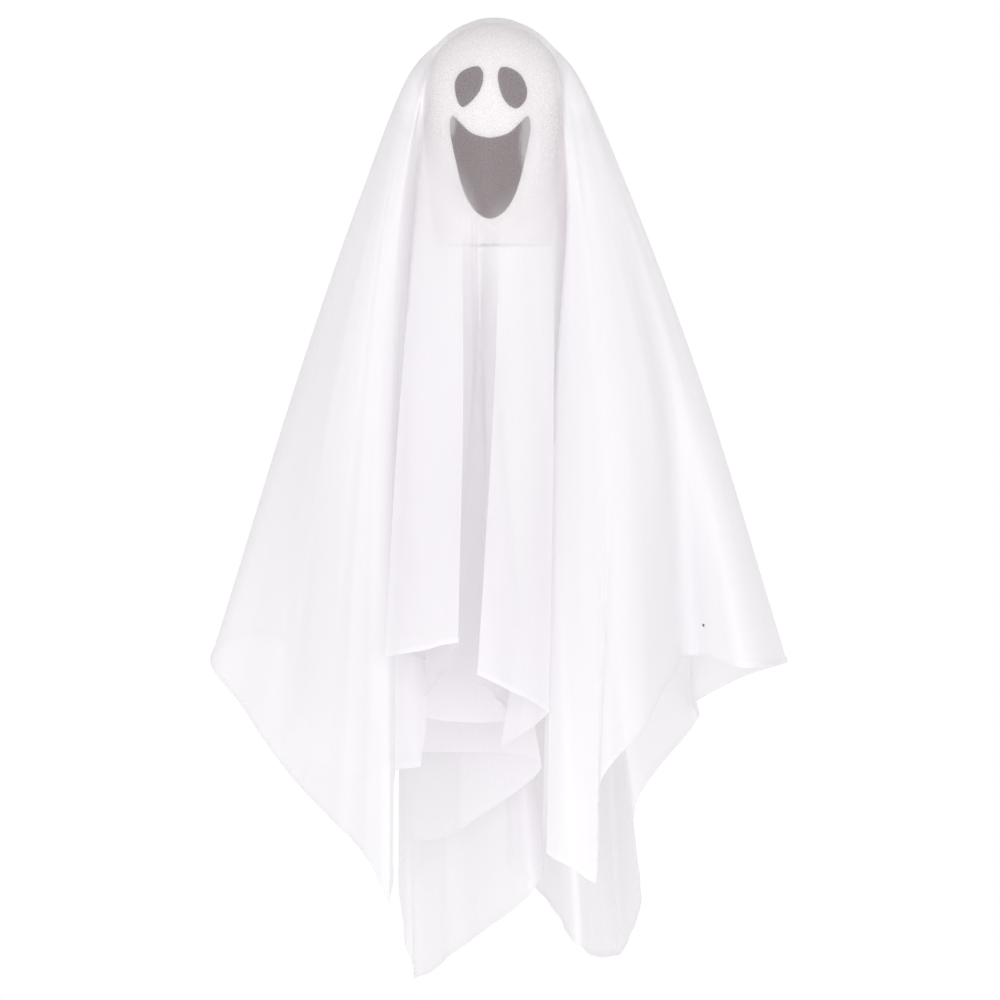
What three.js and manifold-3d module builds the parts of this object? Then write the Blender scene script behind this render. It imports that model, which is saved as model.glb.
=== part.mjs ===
// Hanging fabric ghost: a foam head in a white cap, felt eyes and mouth, and one sheer sheet that
// falls over it in folds. Millimetres, +Z up, and the face looks along -Y.
// The origin is the hanging hole at the very top of the sheet, so everything hangs below it.

import * as THREE from 'three';
import { mergeVertices } from 'three/addons/utils/BufferGeometryUtils.js';
import Module from 'manifold-3d';

const wasm = await Module();
wasm.setup();

// The head, from the foam outwards
const CORE_RADIUS = 35.5;
const CORE_DOME = 36;
const CORE_TAPER = 130;
const CORE_HEIGHT = 109;
const CAP_WALL = 1.2;
const CAP_HEM_DROP = 5;
const FELT_THICK = 0.8;
const FIT_GAP = 0.3;
const THREAD_HOLE_RADIUS = 1.5;

// The two plastic discs on the hanging thread
const TOP_DISC_RADIUS = 8;
const TOP_DISC_THICK = 1.5;
const STOP_DISC_RADIUS = 7;
const STOP_DISC_THICK = 2;

// The sheet, drawn thicker than the real voile, which is about 0.15 mm. Its reach is from the middle
// to the side points and to the corners, and its fall is from the top to the lowest corner.
const SHEET_THICK = 0.6;
const SHEET_ROOM = 0.8;
const POINT_REACH = 150;
const CORNER_REACH = 150;
const LONGEST_FALL = 507;
const BUMP_SLOPE = 3;
const SHOULDER_SIDE = 20;
const SHOULDER_FRONT = 8;
const SHOULDER_TURN = 0.35;
const NECK_LEVEL = -95;
const CHEST_LEVEL = -199;
const DOME_STEPS = 4;

// The thread knot in the wall of the fold at the viewer's right
const KNOT_RADIUS = 0.8;
const KNOT_FLATTEN = 0.6;
const KNOT_ACROSS = 0.25;
const KNOT_DOWN = 0.75;

// Roundness of the turned pieces and of the felt outlines
const TURNED_SIDES = 40;
const DOME_PROFILE_STEPS = 9;
const SIDE_PROFILE_STEPS = 8;
const OUTLINE_STEPS = 3;

// Outlines of the felt pieces seen from the front: [across, height]
const LEFT_EYE = [[-7.8, -26.8], [-5.7, -30.4], [-7.3, -39], [-16, -47.6],
  [-18.6, -45], [-20.2, -35.4], [-17.6, -30], [-11, -26.8]];
const RIGHT_EYE = [[3.8, -27.2], [8.8, -27.7], [14, -31.4], [17.1, -39.2],
  [15.6, -45.2], [11.4, -48.4], [6.2, -45.2], [2.6, -36.6], [2.2, -30.2]];
const MOUTH_MIDDLE = -2;
const MOUTH_HALF = [[1, -63.6], [9.6, -61.2], [15.4, -56], [19.6, -52.2], [20.8, -58],
  [19.6, -66.5], [17.6, -76], [15.2, -86], [11.8, -95], [6.4, -102.4], [0, -105.2]];

// The ribs of the sheet, from the point at the viewer's right round by the front, left and back.
// Each gives its direction on the dome and how far down the dome the sheet leaves it, in degrees.
// Its places at the neck, chest and hem follow, where all but the neck's direction are hundredths:
// the neck's of the covered head's radius, and the others' of the sheet's reach and fall.
const RIBS = [
  rib('right point', 0, 48, [0, 183], [74, 0], [101.5, 2.5, -66.1]),
  rib('right front a', -4, 49, [-7, 176], [68.5, -14.5], [86, -28, -66.5]),
  rib('curl valley', -8, 50, [-15, 165], [60, -20], [68, -9.5, -65.3]),
  rib('right front b', -12, 55, [-22, 155], [54, -34.5], [59.5, -41.5, -68.2]),
  rib('right front c', -16, 60, [-27, 148], [47.5, -41.5], [49.5, -65.5, -72.8]),
  rib('right front d', -20, 65, [-31, 140], [40.5, -45.5], [36.5, -77.5, -77.7]),
  rib('front right corner', -24, 69, [-34, 136], [34, -45], [34.5, -85.5, -87.7]),
  rib('corner inside a', -27, 71, [-36, 129], [27.5, -43], [26.5, -84.5, -86.2]),
  rib('corner inside b', -31, 74, [-37, 122], [20.8, -38], [17.6, -80.5, -84.8]),
  rib('right groove', -34, 89, [-18, 101], [23, -6], [19.5, -2, -71.6]),
  rib('right tuck', -38, 91, [-29, 100], [18.5, -30.5], [2.5, -56, -74.4]),
  rib('right flap edge', -43, 90, [-42, 103], [20.5, -42.5], [18.6, -70.5, -70.8]),
  rib('right flap', -58, 92, [-65, 100], [10.5, -48], [4.5, -82.5, -68.4]),
  rib('right flap fold', -73, 93, [-84, 100], [0, -45.5], [-5.5, -86.5, -66.9]),
  rib('recess right', -90, 93, [-97, 102], [-4.5, -7], [4, -14, -72]),
  rib('recess left', -95, 93, [-101, 102], [-6.5, -7], [-24, -14, -71.6]),
  rib('left flap fold', -111, 93, [-114, 103], [-10.5, -45.5], [-12.5, -86.5, -63.7]),
  rib('left flap', -127, 92, [-133, 108], [-21.5, -46.5], [-24, -86.5, -64.5]),
  rib('left flap edge', -143, 88, [-150, 115], [-32, -41.5], [-37.5, -78.5, -65.1]),
  rib('left groove', -149, 90, [-171, 104], [-30, -18], [-24, -30, -65.7]),
  rib('left strip', -151, 86, [-166, 110], [-31, -22], [-25, -38, -76.4]),
  rib('left fold edge', -153, 75, [-160, 118], [-33, -25], [-33.9, -41.5, -76.8]),
  rib('front left corner', -156, 70, [-151, 138], [-34.5, -33], [-35, -93.5, -89.7]),
  rib('left front a', -161, 66, [-154, 147], [-40, -37.5], [-42, -84, -85.6]),
  rib('left front b', -168, 56, [-161, 157], [-52, -31.5], [-70, -42, -77.2]),
  rib('left front c', -174, 48, [-171, 168], [-62.5, -17.5], [-86, -20, -70.8]),
  rib('left point', -180, 45, [-180, 178], [-70.5, 0], [-98, 0, -65.5]),
  rib('left back a', -188, 50, [-188, 170], [-67, 14], [-76, 20, -63.5]),
  rib('left pleat', -193, 54, [-194, 158], [-57, 24], [-65.6, 38, -70.5]),
  rib('left back b', -197, 58, [-199, 180], [-66, 34], [-75.5, 58, -74.4]),
  rib('left back c', -204, 64, [-208, 150], [-46, 34], [-50.5, 66, -78.5]),
  rib('left inner fold', -211, 69, [-213, 128], [-22, 16], [-27, 30, -75.4]),
  rib('left back valley', -217, 74, [-217, 104], [-6, 5], [16.4, 16, -76.6]),
  rib('left inner return', -222, 76, [-221, 120], [-12, 17], [-12, 34, -83.7]),
  rib('left back d', -228, 78, [-227, 145], [-31, 42], [-32, 64, -86.2]),
  rib('back left corner', -238, 81, [-236, 182], [-30, 64], [-28.5, 100, -100]),
  rib('back a', -247, 85, [-246, 140], [-18, 46], [-14, 74, -96.8]),
  rib('back left valley', -256, 88, [-253, 102], [-2, 20], [14, 34, -89.7]),
  rib('back b', -265, 90, [-261, 128], [2, 38], [17, 52, -86.8]),
  rib('back c', -273, 90, [-270, 168], [2, 58], [4.5, 80, -87.6]),
  rib('back d', -282, 88, [-280, 160], [9, 60], [14, 86, -89.9]),
  rib('back right valley', -292, 85, [-294, 106], [18, 22], [30, 42, -95.7]),
  rib('back right corner', -302, 82, [-306, 182], [34, 64], [44.5, 101.5, -97.6]),
  rib('right back a', -312, 78, [-316, 142], [35, 40], [51.5, 66, -91.9]),
  rib('right back valley', -322, 72, [-324, 104], [28, 14], [49.5, 22, -80.7]),
  rib('right back b', -332, 64, [-335, 146], [50, 32], [71.5, 48, -72.2]),
  rib('right back c', -342, 56, [-344, 178], [66, 34], [70, 33.5, -70.6]),
  rib('right back d', -351, 51, [-352, 172], [68, 12], [86.5, 20, -67.7]),
];

// Rows of the sheet below the dome, counted in stretches that end at shoulder, neck, chest and hem
const FALL_STRETCHES = 4;
const FALL_ROWS = [1, 2, 2.5, 3, 3.5, 4];

// Places down the thread, each worked out from the piece above it
const topDiscTop = -SHEET_THICK - FIT_GAP;
const capApex = topDiscTop - TOP_DISC_THICK - FIT_GAP;
const coreApex = capApex - CAP_WALL - FIT_GAP;
const headMiddle = coreApex - CORE_DOME;
const coreBase = coreApex - CORE_HEIGHT;
const capHem = coreBase - CAP_HEM_DROP;

// How far each skin stands out from the foam
const capInside = FIT_GAP;
const capOutside = capInside + CAP_WALL;
const feltInside = capOutside + FIT_GAP;
const feltOutside = feltInside + FELT_THICK;
const sheetOutside = feltOutside + FIT_GAP + SHEET_ROOM + SHEET_THICK;
const coveredRadius = CORE_RADIUS + sheetOutside;

// Places on the top of the sheet, where it runs flat over the disc and then down to the dome
const bumpRadius = TOP_DISC_RADIUS + FIT_GAP + SHEET_THICK;
const domeStart = Math.asin((bumpRadius + BUMP_SLOPE) / coveredRadius);

function rib(name, turn, leave, neck, chest, hem) {
  return { name, turn, leave, neck, chest, hem };
}

function radians(degrees) {
  return THREE.MathUtils.degToRad(degrees);
}

function material(color, roughness) {
  return new THREE.MeshStandardMaterial({ color, roughness, metalness: 0 });
}

// A point on the egg-shaped head, for a skin that stands out from the foam by so much
function domePoint(angle, out) {
  const radius = (CORE_RADIUS + out) * Math.sin(angle);
  return [radius, headMiddle + (CORE_DOME + out) * Math.cos(angle)];
}

function sidePoint(z, out) {
  const share = (headMiddle - z) / (CORE_TAPER + out);
  return [(CORE_RADIUS + out) * Math.sqrt(1 - share * share), z];
}

// The side of such a skin, from a round hole at the top down to a level: [radius, height]
function headSide(out, hole, bottom) {
  const first = Math.asin(hole / (CORE_RADIUS + out));
  const points = [];
  for (let i = 0; i <= DOME_PROFILE_STEPS; i += 1) {
    const angle = first + (Math.PI / 2 - first) * (i / DOME_PROFILE_STEPS);
    points.push(domePoint(angle, out));
  }
  for (let i = 1; i <= SIDE_PROFILE_STEPS; i += 1) {
    const z = headMiddle + (bottom - headMiddle) * (i / SIDE_PROFILE_STEPS);
    points.push(sidePoint(z, out));
  }
  return points;
}

// A turned ring from [radius, height] points that run anticlockwise, stood up along +Z
function turned(profile) {
  const points = profile.map(([radius, z]) => new THREE.Vector2(radius, z));
  points.push(points[0].clone());
  return new THREE.LatheGeometry(points, TURNED_SIDES).rotateX(Math.PI / 2);
}

function washer(radius, hole, top, thick) {
  const base = top - thick;
  return turned([[hole, base], [radius, base], [radius, top], [hole, top]]);
}

function headShell(inside, outside, hole, bottom) {
  const upOutside = headSide(outside, hole, bottom).reverse();
  return turned([...upOutside, ...headSide(inside, hole, bottom)]);
}

function foamCore() {
  const upSide = headSide(0, THREAD_HOLE_RADIUS, coreBase).reverse();
  return turned([[THREAD_HOLE_RADIUS, coreBase], ...upSide]);
}

// Closed meshes to solids and back, for the felt that is cut out of a skin round the cap
function toSolid(geometry) {
  const bare = geometry.clone();
  bare.deleteAttribute('normal');
  bare.deleteAttribute('uv');
  const merged = mergeVertices(bare, 1e-3);
  return new wasm.Manifold(new wasm.Mesh({
    numProp: 3,
    vertProperties: new Float32Array(merged.attributes.position.array),
    triVerts: new Uint32Array(merged.index.array),
  }));
}

function toGeometry(solid) {
  const mesh = solid.getMesh();
  const geometry = new THREE.BufferGeometry();
  geometry.setAttribute('position', new THREE.BufferAttribute(mesh.vertProperties, 3));
  geometry.setIndex(new THREE.BufferAttribute(mesh.triVerts, 1));
  geometry.computeVertexNormals();
  return geometry;
}

function feltPiece(outline) {
  const corners = outline.map(([x, z]) => new THREE.Vector3(x, z, 0));
  const curve = new THREE.CatmullRomCurve3(corners, true);
  const points = curve.getPoints(outline.length * OUTLINE_STEPS).slice(0, -1);
  const shape = new THREE.Shape(points.map((p) => new THREE.Vector2(p.x, p.y)));
  const depth = CORE_RADIUS + feltOutside + FIT_GAP;
  const cutter = new THREE.ExtrudeGeometry(shape, { depth, bevelEnabled: false }).rotateX(Math.PI / 2);
  const skin = headShell(feltInside, feltOutside, THREAD_HOLE_RADIUS, coreBase);
  return toGeometry(toSolid(skin).intersect(toSolid(cutter)));
}

function mouthOutline() {
  const right = MOUTH_HALF.map(([x, z]) => [MOUTH_MIDDLE + x, z]);
  const left = MOUTH_HALF.slice(0, -1).reverse().map(([x, z]) => [MOUTH_MIDDLE - x, z]);
  return [...right, ...left];
}

// The sheet runs straight on where it leaves the dome, further at the sides than at the front. It has
// turned part of the way to its direction at the neck there.
function shoulderPoint(turn, leave, neckTurn) {
  const angle = radians(leave);
  const [radius, z] = domePoint(angle, sheetOutside);
  const side = (90 - leave) / 45;
  const length = SHOULDER_FRONT + (SHOULDER_SIDE - SHOULDER_FRONT) * side;
  const point = new THREE.Vector3(radius + length * Math.cos(angle), 0, z - length * Math.sin(angle));
  const direction = turn + SHOULDER_TURN * (neckTurn - turn);
  return point.applyAxisAngle(new THREE.Vector3(0, 0, 1), radians(direction));
}

// A place in the hanging part of the sheet, from hundredths of its reach across and in depth
function hangingPoint([across, depth], z) {
  return new THREE.Vector3((POINT_REACH * across) / 100, (CORNER_REACH * depth) / 100, z);
}

// One rib as a curve: down the dome to where the sheet leaves it, then shoulder, neck, chest and hem
function ribCurve({ turn, leave, neck, chest, hem }) {
  const points = [];
  const around = new THREE.Vector3(0, 0, 1);
  for (let i = 0; i <= DOME_STEPS; i += 1) {
    const angle = domeStart + (radians(leave) - domeStart) * (i / DOME_STEPS);
    const [radius, z] = domePoint(angle, sheetOutside);
    points.push(new THREE.Vector3(radius, 0, z).applyAxisAngle(around, radians(turn)));
  }
  const [direction, size] = neck;
  points.push(shoulderPoint(turn, leave, direction));
  const neckRadius = coveredRadius * (size / 100);
  points.push(new THREE.Vector3(neckRadius, 0, NECK_LEVEL).applyAxisAngle(around, radians(direction)));
  points.push(hangingPoint(chest, CHEST_LEVEL));
  points.push(hangingPoint(hem, LONGEST_FALL * (hem[2] / 100)));
  return new THREE.CatmullRomCurve3(points, false, 'centripetal');
}

// The rib's points from the thread hole to the hem, at the same rows on every rib
function ribPoints(oneRib) {
  const around = new THREE.Vector3(0, 0, 1);
  const flat = [THREAD_HOLE_RADIUS, bumpRadius].map((radius) => (
    new THREE.Vector3(radius, 0, 0).applyAxisAngle(around, radians(oneRib.turn))));
  const curve = ribCurve(oneRib);
  const domeRows = Array.from({ length: DOME_STEPS + 1 }, (_, i) => i);
  const rows = [...domeRows, ...FALL_ROWS.map((row) => DOME_STEPS + row)];
  return [...flat, ...rows.map((row) => curve.getPoint(row / (DOME_STEPS + FALL_STRETCHES)))];
}

// The outward direction at each point of the grid, from the quads that meet there
function gridNormals(grid) {
  const normals = grid.map((column) => column.map(() => new THREE.Vector3()));
  grid.forEach((column, i) => {
    const next = (i + 1) % grid.length;
    for (let j = 0; j + 1 < column.length; j += 1) {
      const down = grid[next][j + 1].clone().sub(column[j]);
      const across = grid[next][j].clone().sub(column[j + 1]);
      const normal = across.cross(down).normalize();
      for (const [a, b] of [[i, j], [next, j], [i, j + 1], [next, j + 1]]) {
        normals[a][b].add(normal);
      }
    }
  });
  normals.forEach((column) => column.forEach((normal) => normal.normalize()));
  return normals;
}

// A closed shell: the grid outside, its copy one thickness inside, joined at the hole and the hem
function sheetShell(grid) {
  const normals = gridNormals(grid);
  const columns = grid.length;
  const rows = grid[0].length;
  const positions = [];
  grid.forEach((column) => column.forEach((point) => positions.push(...point.toArray())));
  grid.forEach((column, i) => column.forEach((point, j) => {
    positions.push(...point.clone().addScaledVector(normals[i][j], -SHEET_THICK).toArray());
  }));
  const outer = (i, j) => (i % columns) * rows + j;
  const inner = (i, j) => columns * rows + outer(i, j);
  const index = [];
  const quad = (a, b, c, d) => index.push(a, b, c, a, c, d);
  for (let i = 0; i < columns; i += 1) {
    for (let j = 0; j + 1 < rows; j += 1) {
      quad(outer(i, j), outer(i + 1, j), outer(i + 1, j + 1), outer(i, j + 1));
      quad(inner(i, j), inner(i, j + 1), inner(i + 1, j + 1), inner(i + 1, j));
    }
    quad(outer(i, rows - 1), outer(i + 1, rows - 1), inner(i + 1, rows - 1), inner(i, rows - 1));
    quad(inner(i, 0), inner(i + 1, 0), outer(i + 1, 0), outer(i, 0));
  }
  const geometry = new THREE.BufferGeometry();
  geometry.setAttribute('position', new THREE.Float32BufferAttribute(positions, 3));
  geometry.setIndex(index);
  geometry.computeVertexNormals();
  return geometry;
}

// The knot sits just off the wall of the right-hand fold, near the hem
function knotPlace(grid) {
  const left = RIBS.findIndex((one) => one.name === 'curl valley');
  const [above, below] = [grid[left].length - 2, grid[left].length - 1];
  const along = (i) => grid[i][above].clone().lerp(grid[i][below], KNOT_DOWN);
  const point = along(left).lerp(along(left - 1), KNOT_ACROSS);
  const down = grid[left][below].clone().sub(grid[left][above]);
  const across = grid[left][above].clone().sub(grid[left - 1][above]);
  const outward = across.cross(down).normalize();
  return { point: point.addScaledVector(outward, FIT_GAP + KNOT_RADIUS * KNOT_FLATTEN), outward };
}

function knotMesh(grid, finish) {
  const { point, outward } = knotPlace(grid);
  const ball = new THREE.SphereGeometry(KNOT_RADIUS, 10, 8).scale(1, KNOT_FLATTEN, 1);
  const mesh = new THREE.Mesh(ball, finish);
  mesh.quaternion.setFromUnitVectors(new THREE.Vector3(0, 1, 0), outward);
  mesh.position.copy(point);
  return mesh;
}

function addPiece(group, name, mesh) {
  mesh.name = name;
  group.add(mesh);
}

const foam = material(0xf4f4f2, 0.9);
const whiteKnit = material(0xf2f0f0, 0.95);
const blackFelt = material(0x1e1c1d, 0.95);
const clearPlastic = material(0xe8e8e6, 0.4);
const voile = material(0xf6f5fb, 0.85);
const darkThread = material(0x3a3838, 0.8);

const ghost = new THREE.Group();
const head = new THREE.Group();
ghost.add(head);

const holeRadius = THREAD_HOLE_RADIUS;
const stopTop = coreBase - FIT_GAP;
addPiece(head, 'head_core', new THREE.Mesh(foamCore(), foam));
addPiece(head, 'head_cap', new THREE.Mesh(headShell(capInside, capOutside, holeRadius, capHem), whiteKnit));
addPiece(head, 'left_eye', new THREE.Mesh(feltPiece(LEFT_EYE), blackFelt));
addPiece(head, 'right_eye', new THREE.Mesh(feltPiece(RIGHT_EYE), blackFelt));
addPiece(head, 'mouth', new THREE.Mesh(feltPiece(mouthOutline()), blackFelt));
addPiece(head, 'top_disc',
  new THREE.Mesh(washer(TOP_DISC_RADIUS, holeRadius, topDiscTop, TOP_DISC_THICK), clearPlastic));
addPiece(head, 'stop_disc',
  new THREE.Mesh(washer(STOP_DISC_RADIUS, holeRadius, stopTop, STOP_DISC_THICK), clearPlastic));

const sheetGrid = RIBS.map(ribPoints);
addPiece(ghost, 'sheet', new THREE.Mesh(sheetShell(sheetGrid), voile));
addPiece(ghost, 'thread_knot', knotMesh(sheetGrid, darkThread));

export default ghost;
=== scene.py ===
"""Hanging fabric ghost: one sheer voile sheet over a foam head in a knitted cap with a felt face.

Metres, +Z up. The origin is the hanging hole at the top of the sheet, and the face looks along -Y.
"""

import math

import bpy
import mathutils
import numpy as np
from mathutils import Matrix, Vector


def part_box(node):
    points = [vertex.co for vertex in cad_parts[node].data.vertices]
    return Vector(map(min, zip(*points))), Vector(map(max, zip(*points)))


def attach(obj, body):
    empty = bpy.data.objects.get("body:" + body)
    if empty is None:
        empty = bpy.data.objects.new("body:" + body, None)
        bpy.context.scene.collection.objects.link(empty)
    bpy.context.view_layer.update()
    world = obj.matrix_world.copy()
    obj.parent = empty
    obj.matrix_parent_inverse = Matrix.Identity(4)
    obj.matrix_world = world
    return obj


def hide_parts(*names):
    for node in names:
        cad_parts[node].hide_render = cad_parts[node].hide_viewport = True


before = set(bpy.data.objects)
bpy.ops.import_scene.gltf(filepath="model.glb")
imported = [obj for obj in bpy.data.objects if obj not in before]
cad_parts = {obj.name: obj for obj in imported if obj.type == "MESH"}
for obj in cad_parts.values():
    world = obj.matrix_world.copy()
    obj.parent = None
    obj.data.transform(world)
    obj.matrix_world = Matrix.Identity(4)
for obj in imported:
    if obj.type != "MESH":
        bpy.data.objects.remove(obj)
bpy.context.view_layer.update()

MM = 0.001

# The photograph's view. The camera is level and looks straight at the face from five metres, so the
# middle of its picture is a little to the right of the hanging hole and half way down the ghost.
CAMERA_DISTANCE = 5.0
VIEW_MIDDLE = (3.1 * MM, -250.6 * MM)
VIEW_WIDTH = 520 * MM
SENSOR_MM = 36.0

scene = bpy.context.scene
camera = bpy.data.objects.new("camera", bpy.data.cameras.new("camera"))
camera.data.sensor_width = SENSOR_MM
camera.data.lens = SENSOR_MM * CAMERA_DISTANCE / VIEW_WIDTH
camera.location = (VIEW_MIDDLE[0], -CAMERA_DISTANCE, VIEW_MIDDLE[1])
camera.rotation_euler = (math.radians(90), 0, 0)
scene.collection.objects.link(camera)
scene.camera = camera


# The foam head. A blank of expanded polystyrene, moulded in a steel tool, so it is made of pressed
# beads with faint joints between them. A hot wire has melted its bore. The cap is pulled over it.
CORE_RADIUS = 35.5 * MM
CORE_DOME = 36 * MM
CORE_TAPER = 130 * MM
CORE_EDGE_ROUND = 2.5 * MM
BORE_RADIUS = 1.5 * MM
BEAD_SIZE = 3.2 * MM
BEAD_JOINT = 0.12
BEAD_RELIEF = 0.3 * MM
FOAM_WHITE = "#f4f4f2"
FOAM_JOINT = "#dcdcda"
FOAM_IOR = 1.49
FOAM_GLOW = 4 * MM
CORE_SIDES = 192
SKIN_DOME_STEPS = 36
SKIN_SIDE_STEPS = 30
EDGE_STEPS = 6
UNDERSIDE_RINGS = (0.75, 0.5, 0.25)
BORE_STEPS = 12

core_low, core_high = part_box("head_core")
HEAD_MIDDLE = core_high.z - CORE_DOME


def linear(hex_colour):
    """A linear colour with alpha from an sRGB hex value."""
    channels = [int(hex_colour[i:i + 2], 16) / 255 for i in (1, 3, 5)]
    return [c / 12.92 if c <= 0.04045 else ((c + 0.055) / 1.055) ** 2.4 for c in channels] + [1.0]


def add_node(tree, kind, settings=None, **inputs):
    """Adds a node. settings are its properties. inputs are its sockets, by name or as i0, i1, and
    each is a number, a colour or another node's output."""
    node = tree.nodes.new(kind)
    for name, value in (settings or {}).items():
        setattr(node, name, value)
    for name, value in inputs.items():
        key = int(name[1:]) if name[1:].isdigit() else name.replace("_", " ")
        if isinstance(value, bpy.types.NodeSocket):
            tree.links.new(value, node.inputs[key])
        else:
            node.inputs[key].default_value = value
    return node


def new_material(name):
    """An empty node material and its tree."""
    material = bpy.data.materials.new(name)
    material.use_nodes = True
    material.node_tree.nodes.clear()
    return material, material.node_tree


def mesh_object(name, vertices, faces, material, smooth=True):
    """An object in the scene from lists of vertices and faces."""
    mesh = bpy.data.meshes.new(name)
    mesh.from_pydata([tuple(v) for v in vertices], [], faces)
    mesh.validate()
    mesh.polygons.foreach_set("use_smooth", [smooth] * len(mesh.polygons))
    mesh.materials.append(material)
    piece = bpy.data.objects.new(name, mesh)
    scene.collection.objects.link(piece)
    return piece


def turned(name, profile, material, sides, dent=None):
    """A closed turned mesh from [radius, height] points that run round its section. dent gives how
    far a point is pushed in, from its turn in radians and its index in the profile."""
    vertices = []
    for s in range(sides):
        turn = 2 * math.pi * s / sides
        for i, (radius, z) in enumerate(profile):
            reach = radius - (dent(turn, i) if dent else 0)
            vertices.append((reach * math.cos(turn), reach * math.sin(turn), z))
    count = len(profile)
    faces = []
    for s in range(sides):
        after = (s + 1) % sides
        for i in range(count):
            j = (i + 1) % count
            faces.append((s * count + i, after * count + i, after * count + j, s * count + j))
    return mesh_object(name, vertices, faces, material)


def head_radius(z, out):
    """The radius at a height of a skin that stands out from the foam by so much."""
    above = z - HEAD_MIDDLE
    size = CORE_DOME + out if above > 0 else CORE_TAPER + out
    return (CORE_RADIUS + out) * math.sqrt(max(0.0, 1 - (above / size) ** 2))


def head_side(out, bottom):
    """The side of such a skin, from the edge of the bore at the top down to a level."""
    first = math.asin(BORE_RADIUS / (CORE_RADIUS + out))
    points = []
    for i in range(SKIN_DOME_STEPS + 1):
        angle = first + (math.pi / 2 - first) * i / SKIN_DOME_STEPS
        radius = (CORE_RADIUS + out) * math.sin(angle)
        points.append((radius, HEAD_MIDDLE + (CORE_DOME + out) * math.cos(angle)))
    for i in range(1, SKIN_SIDE_STEPS + 1):
        z = HEAD_MIDDLE + (bottom - HEAD_MIDDLE) * i / SKIN_SIDE_STEPS
        points.append((head_radius(z, out), z))
    return points


def polystyrene():
    """Expanded polystyrene: matt white, with round beads pressed flat against each other."""
    material, tree = new_material("expanded_polystyrene")
    place = add_node(tree, "ShaderNodeTexCoord").outputs["Object"]
    beads = add_node(tree, "ShaderNodeTexVoronoi", {"feature": "DISTANCE_TO_EDGE"},
                     Vector=place, Scale=1 / BEAD_SIZE)
    joint = add_node(tree, "ShaderNodeMapRange", None, Value=beads.outputs["Distance"],
                     From_Min=0.0, From_Max=BEAD_JOINT)
    colour = add_node(tree, "ShaderNodeMix", {"data_type": "RGBA"}, i0=joint.outputs[0],
                      i6=linear(FOAM_JOINT), i7=linear(FOAM_WHITE))
    bump = add_node(tree, "ShaderNodeBump", None, Height=joint.outputs[0], Strength=0.5,
                    Distance=BEAD_RELIEF)
    shader = add_node(tree, "ShaderNodeBsdfPrincipled", None, Base_Color=colour.outputs[2],
                      Roughness=0.75, IOR=FOAM_IOR, Normal=bump.outputs[0])
    shader.inputs["Subsurface Weight"].default_value = 0.3
    shader.inputs["Subsurface Radius"].default_value = (FOAM_GLOW, FOAM_GLOW, FOAM_GLOW)
    add_node(tree, "ShaderNodeOutputMaterial", None, Surface=shader.outputs[0])
    return material


core_profile = head_side(0, core_low.z + CORE_EDGE_ROUND)
edge_radius = core_profile[-1][0]
for step in range(1, EDGE_STEPS + 1):
    turn_down = math.radians(90 * step / EDGE_STEPS)
    core_profile.append((edge_radius - CORE_EDGE_ROUND * (1 - math.cos(turn_down)),
                         core_low.z + CORE_EDGE_ROUND * (1 - math.sin(turn_down))))
core_profile += [(edge_radius * share, core_low.z) for share in UNDERSIDE_RINGS]
core_profile.append((BORE_RADIUS, core_low.z))
bore_length = core_profile[0][1] - core_low.z
core_profile += [(BORE_RADIUS, core_low.z + bore_length * i / BORE_STEPS) for i in range(1, BORE_STEPS)]
foam_head = turned("foam_head", core_profile[::-1], polystyrene(), CORE_SIDES)
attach(foam_head, "root")
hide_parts("head_core")


# The cap. A white brushed polyester knit, sewn from four gores that meet over the crown, pulled down
# over the foam and turned up inside at its lower edge, where two rows of stitches hold the turning.
CAP_INSIDE = 0.3 * MM
CAP_OUTSIDE = 1.5 * MM
CAP_SIDES = 360
CAP_TURN_THICK = 0.5 * MM
# The turned edge: how far in through the cap's thickness, and how high in the turn
CAP_EDGE = ((0.15, 0.3), (0.5, 0.0), (0.85, 0.3))
CAP_GORES = 4
CAP_SEAM_DEPTH = 0.49 * MM
CAP_SEAM_WIDTH = 1.3 * MM
CAP_SEAM_FADE = 0.5
CAP_STITCH_ROWS = (3.0 * MM, 8.0 * MM)
CAP_STITCH_DEPTH = 0.35 * MM
CAP_STITCH_WIDTH = 0.8 * MM
CAP_STITCHES = 90
CAP_STITCH_SWING = 0.4
KNIT_WHITE = "#e3dfe0"
KNIT_SHADE = "#dad5d6"
KNIT_RELIEF = 0.3 * MM
LOOP_WIDTH = 1.1 * MM
LOOP_DEPTH = 0.6
FLUFF_SCALE = 900.0
PATCH_SCALE = 45.0

cap_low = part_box("head_cap")[0]


def maths(tree, operation, *values, kind="ShaderNodeMath"):
    """The output of a maths node."""
    inputs = {f"i{i}": value for i, value in enumerate(values)}
    return add_node(tree, kind, {"operation": operation}, **inputs).outputs[0]


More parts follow.
